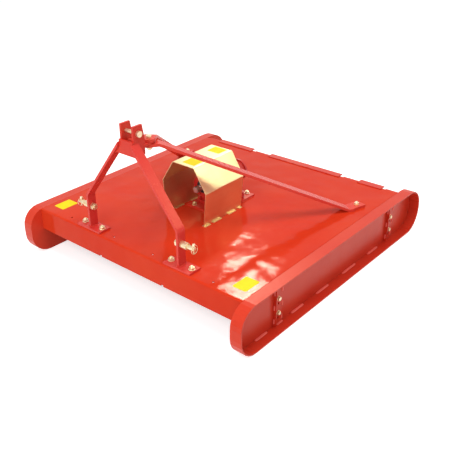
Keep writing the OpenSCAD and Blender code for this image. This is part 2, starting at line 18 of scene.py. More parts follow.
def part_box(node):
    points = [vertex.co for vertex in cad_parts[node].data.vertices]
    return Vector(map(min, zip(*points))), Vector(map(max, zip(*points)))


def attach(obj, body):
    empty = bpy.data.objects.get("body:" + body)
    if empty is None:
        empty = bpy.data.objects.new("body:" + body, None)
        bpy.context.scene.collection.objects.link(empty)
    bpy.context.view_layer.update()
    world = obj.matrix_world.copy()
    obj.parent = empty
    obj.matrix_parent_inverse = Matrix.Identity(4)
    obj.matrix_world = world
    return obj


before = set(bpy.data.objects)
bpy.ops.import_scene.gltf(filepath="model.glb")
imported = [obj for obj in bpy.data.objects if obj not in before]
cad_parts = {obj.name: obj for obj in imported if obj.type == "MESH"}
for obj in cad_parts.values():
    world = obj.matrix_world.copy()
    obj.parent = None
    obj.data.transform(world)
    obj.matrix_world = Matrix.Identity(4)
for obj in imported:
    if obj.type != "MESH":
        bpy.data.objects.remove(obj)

log = logging.getLogger("topper")

Pair = tuple[float, float]
Point = tuple[float, float, float]
Colour = tuple[float, float, float]
Spot = tuple[Point, Point]

RIGHT = 1
LEFT = -1
SIDES = (LEFT, RIGHT)
UPWARDS = (0, 0, 1)
PARALLEL = 0.9  # share of a vector along an axis from which it counts as parallel to it


class Body(Enum):
    """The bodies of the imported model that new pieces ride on."""

    FRAME = "frame"
    ROTOR = "rotor"


class Slot(Enum):
    """The record's material slots by name, which are passed along with new pieces."""

    RED = "red_paint"
    ZINC = "zinc"
    GUARD = "guard_sheet"
    CAST = "cast_red"
    STEEL = "bare_steel"


# Shader expressions


class Sock:
    """A node's socket that takes part in Python expressions; values add Math nodes."""

    def __init__(self, nodes: "Nodes", socket: bpy.types.NodeSocket) -> None:
        """Keeps the socket and the nodes it belongs to."""
        self.nodes = nodes
        self.socket = socket

    def _math(self, operation: str, *values: "Sock | float") -> "Sock":
        """Adds one Math node.

        Args:
            operation: the node's operation.
            values: its inputs in order.

        Returns:
            The node's result.
        """
        return self.nodes.node("ShaderNodeMath", {"operation": operation},
                               dict(enumerate(values)))

    def __add__(self, other: "Sock | float") -> "Sock":
        """self + other."""
        return self._math("ADD", self, other)

    def __radd__(self, other: float) -> "Sock":
        """other + self."""
        return self._math("ADD", other, self)

    def __mul__(self, other: "Sock | float") -> "Sock":
        """self * other."""
        return self._math("MULTIPLY", self, other)

    def __rmul__(self, other: float) -> "Sock":
        """other * self."""
        return self._math("MULTIPLY", other, self)

    def larger(self, other: "Sock | float") -> "Sock":
        """The larger of self and other."""
        return self._math("MAXIMUM", self, other)

    def ramp(self, low: float, high: float) -> "Sock":
        """0 up to low, 1 from high on, a straight line between."""
        return self.nodes.node("ShaderNodeMapRange", {"clamp": True},
                               {"Value": self, "From Min": low, "From Max": high})


class Nodes:
    """A tree that nodes are added to."""

    def __init__(self, tree: bpy.types.NodeTree) -> None:
        """Keeps the tree."""
        self.tree = tree

    def node(self, kind: str, settings: dict, inputs: dict, out: int | str = 0) -> Sock:
        """Adds a node of any type.

        Args:
            kind: the node's type.
            settings: its properties, which are set first.
            inputs: values or sockets by the input's name or number.
            out: the output that is wanted, by name or number.

        Returns:
            That output.
        """
        made = self.tree.nodes.new(kind)
        for key, value in settings.items():
            setattr(made, key, value)
        for key, value in inputs.items():
            if isinstance(value, Sock):
                self.tree.links.new(value.socket, made.inputs[key])
            elif isinstance(value, tuple) and made.inputs[key].type == "RGBA":
                made.inputs[key].default_value = (*value, 1.0)
            else:
                made.inputs[key].default_value = value
        return Sock(self, made.outputs[out])


class Shader(Nodes):
    """The node tree of one new material."""

    def __init__(self, name: str) -> None:
        """Makes the material and empties its tree.

        Args:
            name: the material's name.
        """
        self.material = bpy.data.materials.new(name)
        self.material.use_nodes = True
        super().__init__(self.material.node_tree)
        self.tree.nodes.clear()
        self.place = self.node("ShaderNodeTexCoord", {}, {}, "Object")

    def noise(self, scale: float, detail: float, stretch: Point = (1, 1, 1)) -> Sock:
        """Cloud noise on Object coordinates.

        Args:
            scale: features per metre.
            detail: finer layers that are added.
            stretch: factor on each coordinate, so a small one draws the noise out.

        Returns:
            The noise's value, about 0.5 on average.
        """
        where = self.node("ShaderNodeMapping", {}, {"Vector": self.place, "Scale": stretch})
        return self.node("ShaderNodeTexNoise", {},
                         {"Vector": where, "Scale": scale, "Detail": detail}, "Fac")

    def blend(self, share: Sock, first: Colour, second: Colour) -> Sock:
        """Two colours mixed by share, 0 for the first."""
        return self.node("ShaderNodeMix", {"data_type": "RGBA"},
                         {0: share, 6: first, 7: second}, 2)

    def bump(self, height: Sock, distance: float, under: Sock | None = None) -> Sock:
        """A bumped normal.

        Args:
            height: the pattern.
            distance: how far in metres the pattern's 1 stands above its 0.
            under: the normal that it goes on, for want of which it is the surface's own.

        Returns:
            The normal.
        """
        links = {"Height": height, "Distance": distance, "Strength": 1.0}
        if under is not None:
            links["Normal"] = under
        return self.node("ShaderNodeBump", {}, links)

    def rounded(self, radius: float) -> Sock:
        """A normal that rounds sharp edges by radius in metres."""
        return self.node("ShaderNodeBevel", {"samples": 4}, {"Radius": radius})

    def end(self, shader: Sock) -> bpy.types.Material:
        """Links a shader to the material's output.

        Args:
            shader: the shader's socket.

        Returns:
            The finished material.
        """
        output = self.tree.nodes.new("ShaderNodeOutputMaterial")
        self.tree.links.new(shader.socket, output.inputs["Surface"])
        return self.material

    def surface(self, **inputs: "Sock | float | Colour") -> bpy.types.Material:
        """Ends the tree in a Principled shader.

        Args:
            inputs: its sockets by name, with _ for a space.

        Returns:
            The finished material.
        """
        named = {key.replace("_", " "): value for key, value in inputs.items()}
        return self.end(self.node("ShaderNodeBsdfPrincipled", {}, named))


# Finishes


class Finish(Protocol):
    """A finish that builds its own material."""

    def material(self) -> bpy.types.Material:
        """Builds the material."""


@dataclass(frozen=True)
class GlossPaint:
    """Sprayed gloss enamel with orange peel, faint clouds and a slow waviness of the sheet."""

    name: str
    tone: Colour = (0.58, 0.025, 0.017)
    worn: Colour = (0.62, 0.042, 0.018)
    gloss: Colour = (1.0, 0.60, 0.40)
    ior: float = 1.40
    roughness: float = 0.30
    peel: float = 0.00003
    wave: float = 0.0
    wave_scale: float = 3.0
    edge: float = 0.0015

    def material(self) -> bpy.types.Material:
        """Builds the material: clouds mix two reds, peel and waves feed the bump.

        Returns:
            The finished material.
        """
        s = Shader(self.name)
        clouds = s.noise(scale=5.0, detail=4.0).ramp(low=0.35, high=0.75)
        colour = s.blend(clouds, self.tone, self.worn)
        normal = s.bump(s.noise(scale=420.0, detail=2.0), self.peel, s.rounded(self.edge))
        if self.wave > 0:
            normal = s.bump(s.noise(scale=self.wave_scale, detail=1.5), self.wave, normal)
        dulled = s.noise(scale=38.0, detail=5.0).ramp(low=0.3, high=0.8)
        return s.surface(Base_Color=colour, Roughness=self.roughness + dulled * 0.08,
                         Normal=normal, IOR=self.ior, Specular_Tint=self.gloss)


@dataclass(frozen=True)
class YellowZinc:
    """Zinc plating with a yellow passivation that shifts from gold to pale."""

    name: str = "yellow_zinc"
    pale: Colour = (0.80, 0.69, 0.50)
    gold: Colour = (0.72, 0.51, 0.25)
    roughness: float = 0.26
    crystals: float = 0.00003
    edge: float = 0.0008

    def material(self) -> bpy.types.Material:
        """Builds the material: one noise shares out pale and gold, one dulls the plating.

        Returns:
            The finished material.
        """
        s = Shader(self.name)
        share = s.noise(scale=70.0, detail=4.0).ramp(low=0.35, high=0.7)
        colour = s.blend(share, self.pale, self.gold)
        rough = self.roughness + s.noise(scale=160.0, detail=3.0) * 0.14
        normal = s.bump(s.noise(scale=600.0, detail=2.0), self.crystals, s.rounded(self.edge))
        return s.surface(Base_Color=colour, Metallic=0.85, Roughness=rough, Normal=normal)


@dataclass(frozen=True)
class GuardSheet:
    """Pale yellow plated sheet, brushed along its length, dull enough to blur reflections."""

    name: str = "guard_sheet"
    pale: Colour = (0.82, 0.67, 0.37)
    deep: Colour = (0.78, 0.60, 0.31)
    brushed: Point = (1.0, 0.06, 1.0)
    roughness: float = 0.26
    scratch: float = 0.00006
    edge: float = 0.001

    def material(self) -> bpy.types.Material:
        """Builds the material: long streaks and soft stains mix two tones.

        Returns:
            The finished material.
        """
        s = Shader(self.name)
        streaks = s.noise(scale=90.0, detail=3.0, stretch=self.brushed)
        stains = s.noise(scale=11.0, detail=4.0)
        share = (stains * 0.7 + streaks * 0.3).ramp(low=0.4, high=0.68)
        colour = s.blend(share, self.pale, self.deep)
        normal = s.bump(streaks, self.scratch, s.rounded(self.edge))
        return s.surface(Base_Color=colour, Metallic=0.90,
                         Roughness=self.roughness + stains * 0.10, Normal=normal)


@dataclass(frozen=True)
class CastPaint:
    """Red enamel over a sand casting."""

    name: str = "cast_paint"
    tone: Colour = (0.52, 0.012, 0.010)
    worn: Colour = (0.60, 0.035, 0.022)
    roughness: float = 0.32
    sand: float = 0.00035
    edge: float = 0.002

    def material(self) -> bpy.types.Material:
        """Builds the material: sand grain in the bump, clouds in the colour.

        Returns:
            The finished material.
        """
        s = Shader(self.name)
        clouds = s.noise(scale=18.0, detail=4.0).ramp(low=0.35, high=0.7)
        colour = s.blend(clouds, self.tone, self.worn)
        normal = s.bump(s.noise(scale=240.0, detail=4.0), self.sand, s.rounded(self.edge))
        rough = self.roughness + s.noise(scale=60.0, detail=3.0) * 0.12
        return s.surface(Base_Color=colour, Roughness=rough, Normal=normal,
                         Specular_IOR_Level=0.45)


@dataclass(frozen=True)
class BareSteel:
    """Ground or forged steel without paint; stains gather in patches."""

    name: str = "bare_steel"
    bright: Colour = (0.60, 0.59, 0.57)
    stain: Colour = (0.36, 0.31, 0.26)
    ground: Point = (0.08, 1.0, 1.0)
    roughness: float = 0.3
    scratch: float = 0.00008
    edge: float = 0.001

    def material(self) -> bpy.types.Material:
        """Builds the material: grinding lines along X in the bump, patches in the colour.

        Returns:
            The finished material.
        """
        s = Shader(self.name)
        lines = s.noise(scale=260.0, detail=3.0, stretch=self.ground)
        patches = s.noise(scale=16.0, detail=5.0).ramp(low=0.48, high=0.72)
        colour = s.blend(patches, self.bright, self.stain)
        normal = s.bump(lines, self.scratch, s.rounded(self.edge))
        return s.surface(Base_Color=colour, Metallic=0.95,
                         Roughness=self.roughness + patches * 0.22, Normal=normal)


@dataclass(frozen=True)
class SealRubber:
    """Matt black rubber with a grey bloom."""

    name: str = "seal_rubber"
    black: Colour = (0.010, 0.010, 0.011)
    bloom: Colour = (0.035, 0.034, 0.033)
    grain: float = 0.0001

    def material(self) -> bpy.types.Material:
        """Builds the material: fine noise lifts the black to grey.

        Returns:
            The finished material.
        """
        s = Shader(self.name)
        share = s.noise(scale=90.0, detail=3.0).ramp(low=0.4, high=0.8)
        colour = s.blend(share, self.black, self.bloom)
        normal = s.bump(s.noise(scale=500.0, detail=2.0), self.grain)
        return s.surface(Base_Color=colour, Roughness=0.62, Normal=normal)


@dataclass(frozen=True)
class LabelFilm:
    """Yellow self-adhesive film, slightly uneven over the paint."""

    name: str = "label_film"
    tone: Colour = (0.83, 0.67, 0.016)
    aged: Colour = (0.79, 0.61, 0.012)
    roughness: float = 0.34
    lift: float = 0.0003

    def material(self) -> bpy.types.Material:
        """Builds the material: clouds age the yellow, a slow wave lifts the film.

        Returns:
            The finished material.
        """
        s = Shader(self.name)
        clouds = s.noise(scale=26.0, detail=4.0).ramp(low=0.4, high=0.75)
        colour = s.blend(clouds, self.tone, self.aged)
        rough = self.roughness + s.noise(scale=120.0, detail=2.0) * 0.08
        normal = s.bump(s.noise(scale=30.0, detail=2.0), self.lift)
        return s.surface(Base_Color=colour, Roughness=rough, Normal=normal,
                         Specular_IOR_Level=0.03)


# Surfaces


class Surface:
    """A mesh that is gathered from numpy grids of points."""

    def __init__(self, name: str) -> None:
        """Starts an empty surface.

        Args:
            name: the name of the piece that it becomes.
        """
        self.name = name
        self.points: list[np.ndarray] = []
        self.quads: list[np.ndarray] = []
        self.count = 0

    def grid(self, points: np.ndarray) -> "Surface":
        """Adds one or more grids of equal shape, each closed round its columns.

        The quad at row i and column j joins the points (i, j), (i + 1, j), (i + 1, j + 1) and
        (i, j + 1), with the columns counted modulo their number.

        Args:
            points: (copies, rows, columns, 3), or without the copies.

        Returns:
            The surface itself.
        """
        many = points if points.ndim == 4 else points[None]
        copies, rows, columns, _ = many.shape
        row = columns * np.arange(rows - 1)[:, None]
        j = np.arange(columns)[None, :]
        j2 = (j + 1) % columns
        one = np.stack([row + j, row + columns + j, row + columns + j2, row + j2], -1)
        step = rows * columns * np.arange(copies)[:, None, None]
        self.quads.append((one.reshape(-1, 4)[None] + step).reshape(-1, 4) + self.count)
        self.points.append(many.reshape(-1, 3))
        self.count += copies * rows * columns
        return self

    def piece(self, body: Body, slot: Slot, finish: bpy.types.Material, sharp: float = 32.0,
              merged: float = 2e-6, sliver: float = 1e-6) -> None:
        """Makes the piece.

        Points that coincide are merged, which closes seams and poles, and the faces are turned
        outwards.

        Args:
            body: the body that it rides on.
            slot: not used; the record's slot for its finish.
            finish: its material.
            sharp: angle in degrees from which an edge stays sharp.
            merged: distance up to which two points become one.
            sliver: length up to which an edge is dissolved.
        """
        points, quads = np.concatenate(self.points), np.concatenate(self.quads)
        mesh = bpy.data.meshes.new(self.name)
        mesh.vertices.add(len(points))
        mesh.vertices.foreach_set("co", points.astype(np.float32).ravel())
        mesh.loops.add(4 * len(quads))
        mesh.loops.foreach_set("vertex_index", quads.astype(np.int32).ravel())
        mesh.polygons.add(len(quads))
        mesh.polygons.foreach_set("loop_start", 4 * np.arange(len(quads), dtype=np.int32))
        mesh.update(calc_edges=True)
        work = bmesh.new()
        work.from_mesh(mesh)
        bmesh.ops.remove_doubles(work, verts=work.verts, dist=merged)
        bmesh.ops.dissolve_degenerate(work, edges=work.edges, dist=sliver)
        bmesh.ops.recalc_face_normals(work, faces=work.faces)
        work.to_mesh(mesh)
        work.free()
        mesh.polygons.foreach_set("use_smooth", np.ones(len(mesh.polygons), bool))
        mesh.set_sharp_from_angle(angle=math.radians(sharp))
        mesh.materials.append(finish)
        made = bpy.data.objects.new(self.name, mesh)
        bpy.context.scene.collection.objects.link(made)
        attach(made, body.value)
        log.info("%s: %d faces on %s", self.name, len(mesh.polygons), body.value)


def facing(directions: np.ndarray) -> np.ndarray:
    """Turns that carry +Z onto each direction.

    The third column of each turn is the direction, the first is the cross product of a helper
    axis with it, and the second completes the set.

    Args:
        directions: (n, 3) vectors.

    Returns:
        (n, 3, 3) rotation matrices.
    """
    z = directions / np.linalg.norm(directions, axis=1, keepdims=True)
    helper = np.where(np.abs(z[:, :1]) < PARALLEL, [[1.0, 0.0, 0.0]], [[0.0, 1.0, 0.0]])
    x = np.cross(helper, z)
    x /= np.linalg.norm(x, axis=1, keepdims=True)
    return np.stack([x, np.cross(z, x), z], -1)


def turned(profile: list[Point], steps: int = 24) -> np.ndarray:
    """A profile turned about Z, partly hexagonal.

    Each profile row is (radius, height, hexagon share): its radius at angle a is the radius
    times 1 - share + share / cos(b), with b the distance of a from the middle of its flat.

    Args:
        profile: the rows, from the foot to the top.
        steps: points round the axis; a multiple of 12 puts one on each corner.

    Returns:
        (rows, steps, 3) points.
    """
    radius, height, share = np.array(profile, float).T
    angle = np.arange(steps) * 2 * np.pi / steps
    off_flat = (angle + np.pi / 6) % (np.pi / 3) - np.pi / 6
    factor = 1 + share[:, None] * (1 / np.cos(off_flat)[None] - 1)
    r = radius[:, None] * factor
    return np.stack([r * np.cos(angle), r * np.sin(angle),
                     np.broadcast_to(height[:, None], r.shape)], -1)


def placed(shape: np.ndarray, spots: list[Spot], spin: float = 0.4) -> np.ndarray:
    """Copies of a shape set at spots.

    Args:
        shape: (rows, columns, 3) points round +Z from its seat at z 0.
        spots: (point, direction) of each copy.
        spin: turn between one copy and the next, so that hexagons don't all line up.

    Returns:
        (copies, rows, columns, 3) points.
    """
    points, ways = (np.array(part, float) for part in zip(*spots))
    angle = spin * np.arange(len(points))
    c, s, o = np.cos(angle), np.sin(angle), np.zeros(len(points))
    about = np.stack([np.stack([c, -s, o], -1), np.stack([s, c, o], -1),
                      np.stack([o, o, o + 1], -1)], 1)
    turn = facing(ways) @ about
    return np.einsum("nij,rcj->nrci", turn, shape) + points[:, None, None]


def carried(path: np.ndarray, section: np.ndarray, up: Point, scale: np.ndarray) -> np.ndarray:
    """A closed section carried along a path.

    Point j of row i is path i plus the section's first number times the side vector, which is
    up crossed with the path's direction, plus its second number times the vector square to
    both, all times scale i.

    Args:
        path: (rows, 3) points.
        section: (columns, 2) points.
        up: a vector that the path never follows.
        scale: (rows,) factors on the section.

    Returns:
        (rows, columns, 3) points.
    """
    along = np.gradient(path, axis=0)
    along /= np.linalg.norm(along, axis=1, keepdims=True)
    side = np.cross(np.array(up, float), along)
    side /= np.linalg.norm(side, axis=1, keepdims=True)
    top = np.cross(along, side)
    off = section[None, :, :1] * side[:, None] + section[None, :, 1:] * top[:, None]
    return path[:, None] + scale[:, None, None] * off


def oval(radius: float, steps: int, high: float = 1.0) -> np.ndarray:
    """An oval section: radius times (cos a, high times sin a).

    Args:
        radius: half its width.
        steps: points round it.
        high: its height as a share of its width.

    Returns:
        (steps, 2) points.
    """
    angle = np.arange(steps) * 2 * np.pi / steps
    return radius * np.stack([np.cos(angle), high * np.sin(angle)], -1)


def wire(path: np.ndarray, radius: float, up: Point, steps: int) -> np.ndarray:
    """A round wire along a path, whose first and last rows are points, so that it is closed.

    Args:
        path: (rows, 3) points.
        radius: the wire's radius.
        up: a vector that the path never follows.
        steps: points round the wire.

    Returns:
        (rows, steps, 3) points.
    """
    scale = np.ones(len(path))
    scale[[0, -1]] = 0.0
    return carried(path, oval(radius, steps), up, scale)


def bead(start: Point, end: Point, radius: float, high: float = 1.0, pitch: float = 0.004,
         step: float = 2.5, ripple: float = 0.1, least: int = 8, steps: int = 10) -> np.ndarray:
    """A weld bead between two points.

    An oval section runs along the line. Its size is the eighth-power dome sqrt(1 - t^8) of the
    place t from -1 to 1, times 1 + ripple * sin(step * row). A step of 2.5 rows to a pitch and
    of 2.5 radians to a row makes about one wave to a pitch.

    Args:
        start: first point.
        end: last point.
        radius: half the bead's width.
        high: height of the section as a share of its width.
        pitch: length of one ripple.
        step: rows to a pitch, and radians to a row.
        ripple: depth of the ripple as a share of the radius.
        least: rows of a short bead, less one.
        steps: points round the bead.

    Returns:
        (rows, steps, 3) points.
    """
    a, b = np.array(start, float), np.array(end, float)
    length = np.linalg.norm(b - a)
    rows = max(int(length / pitch * step), least)
    t = np.linspace(-1, 1, rows + 1)
    dome = np.sqrt(np.clip(1 - t ** 8, 0, 1))
    scale = dome * (1 + ripple * np.sin(np.arange(rows + 1) * step))
    up = UPWARDS if abs((b - a)[2]) < PARALLEL * length else (0, 1, 0)
    return carried(a + (t[:, None] + 1) / 2 * (b - a), oval(radius, steps, high), up, scale)


def label(centre: Point, half: Pair, thick: float = 0.0004, corner: float = 0.006,
          bevel: float = 0.3, steps: int = 6) -> np.ndarray:
    """A blank label that lies flat, with rounded corners.

    Its outline is four quarter circles at the corners; rows go from the middle of the foot to
    the rim, up, and in again to the middle of the top.

    Args:
        centre: middle of its foot.
        half: half its width in X and half its length in Y.
        thick: its thickness.
        corner: radius of its corners.
        bevel: size of the bevel round its top, as a share of its thickness.
        steps: points on each corner, less one.

    Returns:
        (rows, columns, 3) points.
    """
    quarter = np.arange(4)[:, None] * np.pi / 2
    angle = (quarter + np.linspace(0, np.pi / 2, steps + 1)).ravel()
    x = np.repeat([1, -1, -1, 1], steps + 1) * (half[0] - corner) + corner * np.cos(angle)
    y = np.repeat([1, 1, -1, -1], steps + 1) * (half[1] - corner) + corner * np.sin(angle)
    rim = np.stack([x, y, 0 * x], -1)
    inner = rim * (1 - bevel * thick / half[0])
    top = thick * np.array(UPWARDS)
    rows = [rim * 0, rim, rim + (1 - bevel) * top, inner + top, rim * 0 + top]
    return np.array(centre, float) + np.stack(rows)


# Fasteners


@dataclass(frozen=True)
class Fastener:
    """A hexagon bolt head on its washer, or a nut with the end of its thread.

    The numbers after thread are shares of the thread's diameter, apart from sunk, which is the
    depth in metres by which the foot goes into its seat.
    """

    diameter: float
    thread: float = 0.0
    flat: float = 0.8
    head: float = 0.68
    washer: Pair = (1.02, 0.16)
    chamfer: float = 0.09
    dish: float = 0.03
    crest: float = 0.5
    root: float = 0.45
    pitch: float = 0.14
    sunk: float = 0.0003

    def shape(self) -> np.ndarray:
        """Turned profile of the washer, the chamfered hexagon, and a nut's thread or a dish.

        Returns:
            (rows, columns, 3) points round +Z from the seat.
        """
        d = self.diameter
        flat, wide, thin = self.flat * d, self.washer[0] * d, self.washer[1] * d
        high = thin + self.head * d
        rows = [(0, -self.sunk, 0), (wide * 0.98, -self.sunk, 0), (wide, 0.03 * d, 0),
                (wide, thin * 0.8, 0), (wide * 0.97, thin, 0),
                (flat, thin, 1), (flat, high - self.chamfer * d, 1), (flat * 0.93, high, 0)]
        if self.thread > 0:
            return turned(rows + self.thread_end(high))
        floor = high - self.dish * d
        return turned(rows + [(flat * 0.72, high, 0), (flat * 0.66, floor, 0), (0, floor, 0)])

    def thread_end(self, foot: float) -> list[Point]:
        """Profile of the thread that stands out of a nut.

        Crest and root follow each other at every half pitch, and a short cone ends the thread.

        Args:
            foot: height of the nut's top.

        Returns:
            The rows up to the axis.
        """
        d = self.diameter
        count = max(int(self.thread / (self.pitch * d)), 2)
        half = np.arange(2 * count)
        radius = np.where(half % 2 == 0, self.crest, self.root) * d
        height = foot + self.thread * (half + 1) / (2 * count)
        tip = foot + self.thread + 0.06 * d
        return [(self.crest * d, foot + 0.01 * d, 0), *zip(radius, height, 0 * half),
                (0.40 * d, tip, 0), (0, tip, 0)]


# Sub-assemblies


def coat(finish: Finish) -> bpy.types.Material:
    """A field of the palette that holds a finish's material."""
    return field(default_factory=finish.material)


@dataclass
class Palette:
    """Every finish of the machine, made once."""

    paint: bpy.types.Material = coat(GlossPaint("red_enamel"))
    skid_paint: bpy.types.Material = coat(GlossPaint(
        "red_enamel_skids", tone=(0.59, 0.034, 0.015), worn=(0.62, 0.046, 0.020), ior=1.34))
    # Weld paint is a much lighter copy of the red enamel. The lighter tone is a painted highlight
    # on the skids' stitch welds, which sit in shade.
    weld_highlight_paint: bpy.types.Material = coat(GlossPaint(
        "red_enamel_welds_painted_highlight", tone=(0.88, 0.15, 0.12), worn=(0.92, 0.18, 0.15),
        ior=1.45, roughness=0.28))
    deck_paint: bpy.types.Material = coat(GlossPaint(
        "red_enamel_sheet", tone=(0.60, 0.032, 0.010), worn=(0.63, 0.045, 0.014),
        ior=1.16, roughness=0.07, wave=0.0078, wave_scale=5.6))
    # The bars' red is partly their rougher, glossier enamel and partly painted sheen. A lighter,
    # pinker tone stands in for the light that the legs' slopes catch.
    bar_paint_and_sheen: bpy.types.Material = coat(GlossPaint(
        "red_enamel_bars_painted_sheen", tone=(0.63, 0.036, 0.030), worn=(0.66, 0.052, 0.040),
        gloss=(1.0, 0.62, 0.40), ior=1.38, roughness=0.22))
    # The stays' red is a lighter, pinker copy of the enamel. Its extra lightness is painted
    # sheen, standing in for the light that the flat bars catch.
    stay_paint_and_sheen: bpy.types.Material = coat(GlossPaint(
        "red_enamel_stays_painted_sheen", tone=(0.66, 0.052, 0.036), worn=(0.69, 0.07, 0.045),
        ior=1.25, roughness=0.24))
    zinc: bpy.types.Material = coat(YellowZinc())
    guard: bpy.types.Material = coat(GuardSheet())
    cast: bpy.types.Material = coat(CastPaint())
    steel: bpy.types.Material = coat(BareSteel())
    rubber: bpy.types.Material = coat(SealRubber())
    label: bpy.types.Material = coat(LabelFilm())


def dress(finish: bpy.types.Material, *nodes: str) -> None:
    """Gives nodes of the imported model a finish.

    Args:
        finish: the material.
        nodes: the nodes' names.
    """
    for name in nodes:
        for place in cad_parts[name].material_slots:
            place.material = finish
        log.info("%s: dressed in %s", name, finish.name)


@dataclass
class Deck:
    """Deck sheet with its side plates, rear strips, beams, flap, labels and hidden nuts."""

    palette: Palette
    label_half: Pair = (0.038, 0.052)
    label_x: float = 0.630
    label_y: float = -0.626
    sheet: float = 0.004
    nut: Fastener = Fastener(0.014, thread=0.008)
    nut_spots: tuple[Pair, ...] = ((0.065, -0.192), (0.065, 0.104), (0.613, 0.354))
    stitch: float = 0.055
    stitch_gap: float = 0.115
    bead: float = 0.005
    bead_high: float = 0.6

    def dress(self) -> None:
        """Paints the sheet metal and plates the flap's rod."""
        dress(self.palette.deck_paint, "deck")
        dress(self.palette.paint, "side_plate_left", "side_plate_right", "rear_strips",
              "deck_beams", "rear_flap")
        dress(self.palette.zinc, "flap_rod")

    def build(self) -> None:
        """Adds the blank labels, and nuts and stitch welds under the sheet."""
        self.labels()
        self.nuts()
        self.welds()

    def labels(self) -> None:
        """Lays a blank label in each front corner."""
        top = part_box("deck")[1].z
        labels = Surface("deck_labels")
        for side in SIDES:
            labels.grid(label((side * self.label_x, self.label_y, top), self.label_half))
        labels.piece(Body.FRAME, Slot.RED, self.palette.label)

    def under(self) -> float:
        """Height of the sheet's lower face."""
        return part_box("deck")[1].z - self.sheet

    def nuts(self) -> None:
        """Hangs the nuts of the bed's and the stays' bolts below the sheet."""
        spots = [((side * x, y, self.under()), (0, 0, -1))
                 for side in SIDES for x, y in self.nut_spots]
        nuts = Surface("deck_nuts").grid(placed(self.nut.shape(), spots))
        nuts.piece(Body.FRAME, Slot.ZINC, self.palette.zinc)

    def beam_edges(self) -> Pair:
        """Finds the edges of a beam, which lies under a foot of the mast.

        Returns:
            Their distances from the middle.
        """
        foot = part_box("mast_foot_right")
        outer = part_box("deck_beams")[1].x
        return foot[0].x + foot[1].x - outer, outer

    def welds(self) -> None:
        """Stitches both edges of the beams to the sheet."""
        low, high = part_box("deck_beams")
        z, step = self.under(), self.stitch + self.stitch_gap
        welds = Surface("beam_welds")
        for start in np.arange(low.y + self.stitch / 2, high.y - self.stitch, step):
            for side in SIDES:
                for x in self.beam_edges():
                    welds.grid(bead((side * x, start, z), (side * x, start + self.stitch, z),
                                    self.bead, self.bead_high))
        welds.piece(Body.FRAME, Slot.RED, self.palette.paint)


@dataclass
class Skids:
    """The two skids with their angle irons, stitch welds and adjustment bolts."""

    palette: Palette
    bolt: Fastener = Fastener(0.012)
    nut: Fastener = Fastener(0.012, thread=0.008)
    rows: Pair = (0.148, 0.069)
    bolt_in: Pair = (0.032, 0.028)
    stack: float = 0.010
    rim: float = 0.006
    stitches: tuple[Pair, ...] = ((-0.658, -0.567), (-0.497, -0.448), (-0.375, -0.273),
                                  (-0.159, -0.047), (0.088, 0.220), (0.347, 0.457))
    bead: float = 0.0075
    bead_high: float = 0.55
    bead_out: float = 0.7
    bead_off: float = 0.1
    angle_welds: tuple[float, ...] = (0.035, 0.110, 0.190, 0.232)
    angle_weld_half: float = 0.014
    angle_bead: float = 0.004

    def dress(self) -> None:
        """Paints the skids."""
        dress(self.palette.skid_paint, "skid_left", "skid_right", "skid_angles_left",
              "skid_angles_right")

    def build(self) -> None:
        """Adds bolts through the angle irons and stitch welds along the rim."""
        self.bolts()
        self.welds()

    def plate(self) -> float:
        """Distance of a skid's inner face from the middle."""
        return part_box("skid_right")[0].x

    def bolt_lines(self) -> Pair:
        """Places in Y of the front and the rear bolts."""
        low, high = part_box("skid_angles_right")
        return low.y + self.bolt_in[0], high.y - self.bolt_in[1]

    def bolts(self) -> None:
        """Puts a head outside and a nut inside each hole in use."""
        outer, inner = self.plate() + self.stack, self.plate() - self.stack / 2
        holes = [(side, y, z) for side in SIDES for y in self.bolt_lines() for z in self.rows]
        heads = [((side * outer, y, z), (side, 0, 0)) for side, y, z in holes]
        nuts = [((side * inner, y, z), (-side, 0, 0)) for side, y, z in holes]
        bolts = Surface("skid_bolts").grid(placed(self.bolt.shape(), heads))
        bolts.grid(placed(self.nut.shape(), nuts))
        bolts.piece(Body.FRAME, Slot.ZINC, self.palette.zinc)

    def welds(self) -> None:
        """Stitches the flat bar to the plate, and the angle irons' edges."""
        welds = Surface("skid_welds")
        off = self.bead_off * self.bead
        heights = (self.rim + off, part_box("skid_right")[1].z - self.rim - off)
        for side in SIDES:
            x = side * (self.plate() + self.stack / 2 + self.bead_out * self.bead)
            for start, end in self.stitches:
                for z in heights:
                    welds.grid(bead((x, start, z), (x, end, z), self.bead, self.bead_high))
            for y in self.bolt_lines():
                for z in self.angle_welds:
                    low, high = z - self.angle_weld_half, z + self.angle_weld_half
                    for edge in (y - self.bolt_in[0], y + self.bolt_in[1]):
                        welds.grid(bead((x, edge, low), (x, edge, high), self.angle_bead))
        # Painted highlight: the beads take a lighter copy of the red enamel so that they show up
        # in the shaded recess.
        welds.piece(Body.FRAME, Slot.RED, self.palette.weld_highlight_paint)


